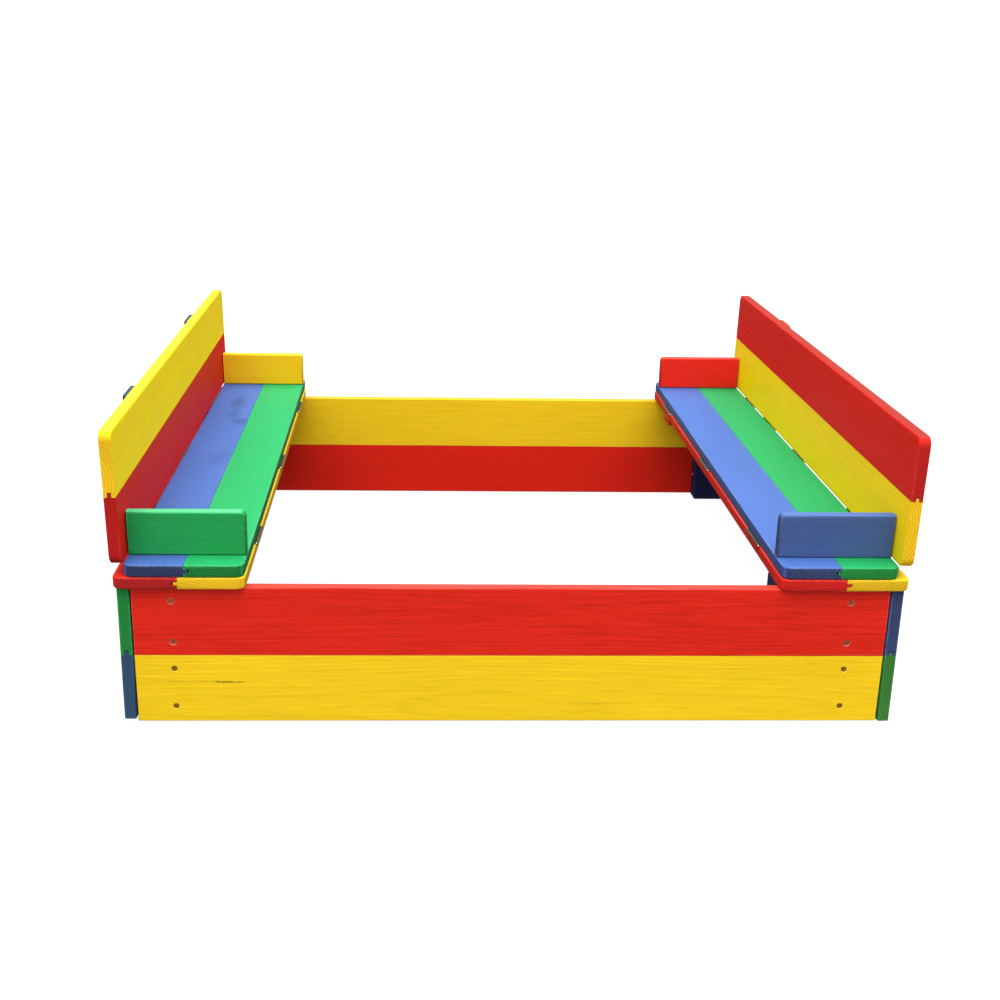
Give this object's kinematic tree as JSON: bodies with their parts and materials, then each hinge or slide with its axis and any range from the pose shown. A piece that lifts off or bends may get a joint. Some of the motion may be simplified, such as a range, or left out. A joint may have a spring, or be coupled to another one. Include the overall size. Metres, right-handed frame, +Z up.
{
  "type": "sandbox with cover",
  "caption": "Square wooden play sandbox whose two-part cover folds open into facing benches with backrests and armrests.",
  "frame": {"origin": "on the ground under the middle of the square frame", "axes": "+X from the left bench to the right bench, +Y from the front wall to the back wall, +Z up"},
  "size_m": [0.9952, 0.967, 0.3706],
  "materials": {
    "red": "red stain over planed spruce",
    "yellow": "yellow stain over planed spruce",
    "green": "green stain over planed spruce",
    "blue": "blue stain over planed spruce",
    "navy": "dark blue stain over planed spruce",
    "hinge_steel": "yellow zinc plated, dulled"
  },
  "bodies": {
    "frame": {"wall_front_lower": "yellow", "wall_front_upper": "red", "wall_back_lower": "red", "wall_back_upper": "yellow", "wall_left_lower": "blue", "wall_left_upper": "green", "wall_right_lower": "green", "wall_right_upper": "blue", "post_front_left": "navy", "post_front_right": "navy", "post_back_left": "navy", "post_back_right": "navy", "left_ledge_inner": "yellow", "left_ledge_outer": "red", "left_cleat_front": "yellow", "left_cleat_back": "yellow", "left_seat_hinge_front_ledge_leaf": "hinge_steel", "left_seat_hinge_middle_ledge_leaf": "hinge_steel", "left_seat_hinge_back_ledge_leaf": "hinge_steel", "right_ledge_inner": "red", "right_ledge_outer": "yellow", "right_cleat_front": "navy", "right_cleat_back": "red", "right_seat_hinge_front_ledge_leaf": "hinge_steel", "right_seat_hinge_middle_ledge_leaf": "hinge_steel", "right_seat_hinge_back_ledge_leaf": "hinge_steel"},
    "left_seat": {"left_seat_inner": "green", "left_seat_outer": "blue", "left_armrest_front": "green", "left_armrest_back": "yellow", "left_seat_hinge_front_seat_leaf": "hinge_steel", "left_seat_hinge_middle_seat_leaf": "hinge_steel", "left_seat_hinge_back_seat_leaf": "hinge_steel", "left_back_hinge_front_seat_leaf": "hinge_steel", "left_back_hinge_middle_seat_leaf": "hinge_steel", "left_back_hinge_back_seat_leaf": "hinge_steel"},
    "left_backrest": {"left_backrest_lower": "red", "left_backrest_upper": "yellow", "left_batten_front": "blue", "left_batten_back": "blue", "left_back_hinge_front_backrest_leaf": "hinge_steel", "left_back_hinge_middle_backrest_leaf": "hinge_steel", "left_back_hinge_back_backrest_leaf": "hinge_steel"},
    "right_seat": {"right_seat_inner": "blue", "right_seat_outer": "green", "right_armrest_front": "blue", "right_armrest_back": "red", "right_seat_hinge_front_seat_leaf": "hinge_steel", "right_seat_hinge_middle_seat_leaf": "hinge_steel", "right_seat_hinge_back_seat_leaf": "hinge_steel", "right_back_hinge_front_seat_leaf": "hinge_steel", "right_back_hinge_middle_seat_leaf": "hinge_steel", "right_back_hinge_back_seat_leaf": "hinge_steel"},
    "right_backrest": {"right_backrest_lower": "yellow", "right_backrest_upper": "red", "right_batten_front": "red", "right_batten_back": "red", "right_back_hinge_front_backrest_leaf": "hinge_steel", "right_back_hinge_middle_backrest_leaf": "hinge_steel", "right_back_hinge_back_backrest_leaf": "hinge_steel"}
  },
  "joints": [
    {"name": "left_seat_fold", "type": "hinge", "parent": "frame", "child": "left_seat", "pos_m": [-0.3201, 0, 0.1926], "axis": [0, 1, 0], "range_deg": [0, 180]},
    {"name": "left_backrest_fold", "type": "hinge", "parent": "left_seat", "child": "left_backrest", "pos_m": [-0.4648, 0, 0.2072], "axis": [0, -1, 0], "range_deg": [0, 88.8]},
    {"name": "right_seat_fold", "type": "hinge", "parent": "frame", "child": "right_seat", "pos_m": [0.3201, 0, 0.1926], "axis": [0, -1, 0], "range_deg": [0, 180]},
    {"name": "right_backrest_fold", "type": "hinge", "parent": "right_seat", "child": "right_backrest", "pos_m": [0.4648, 0, 0.2072], "axis": [0, 1, 0], "range_deg": [0, 88.8]}
  ],
  "couplings": [
    {"joint": "left_backrest_fold", "follows": "left_seat_fold", "ratio": 0.49333},
    {"joint": "right_backrest_fold", "follows": "right_seat_fold", "ratio": 0.49333}
  ]
}
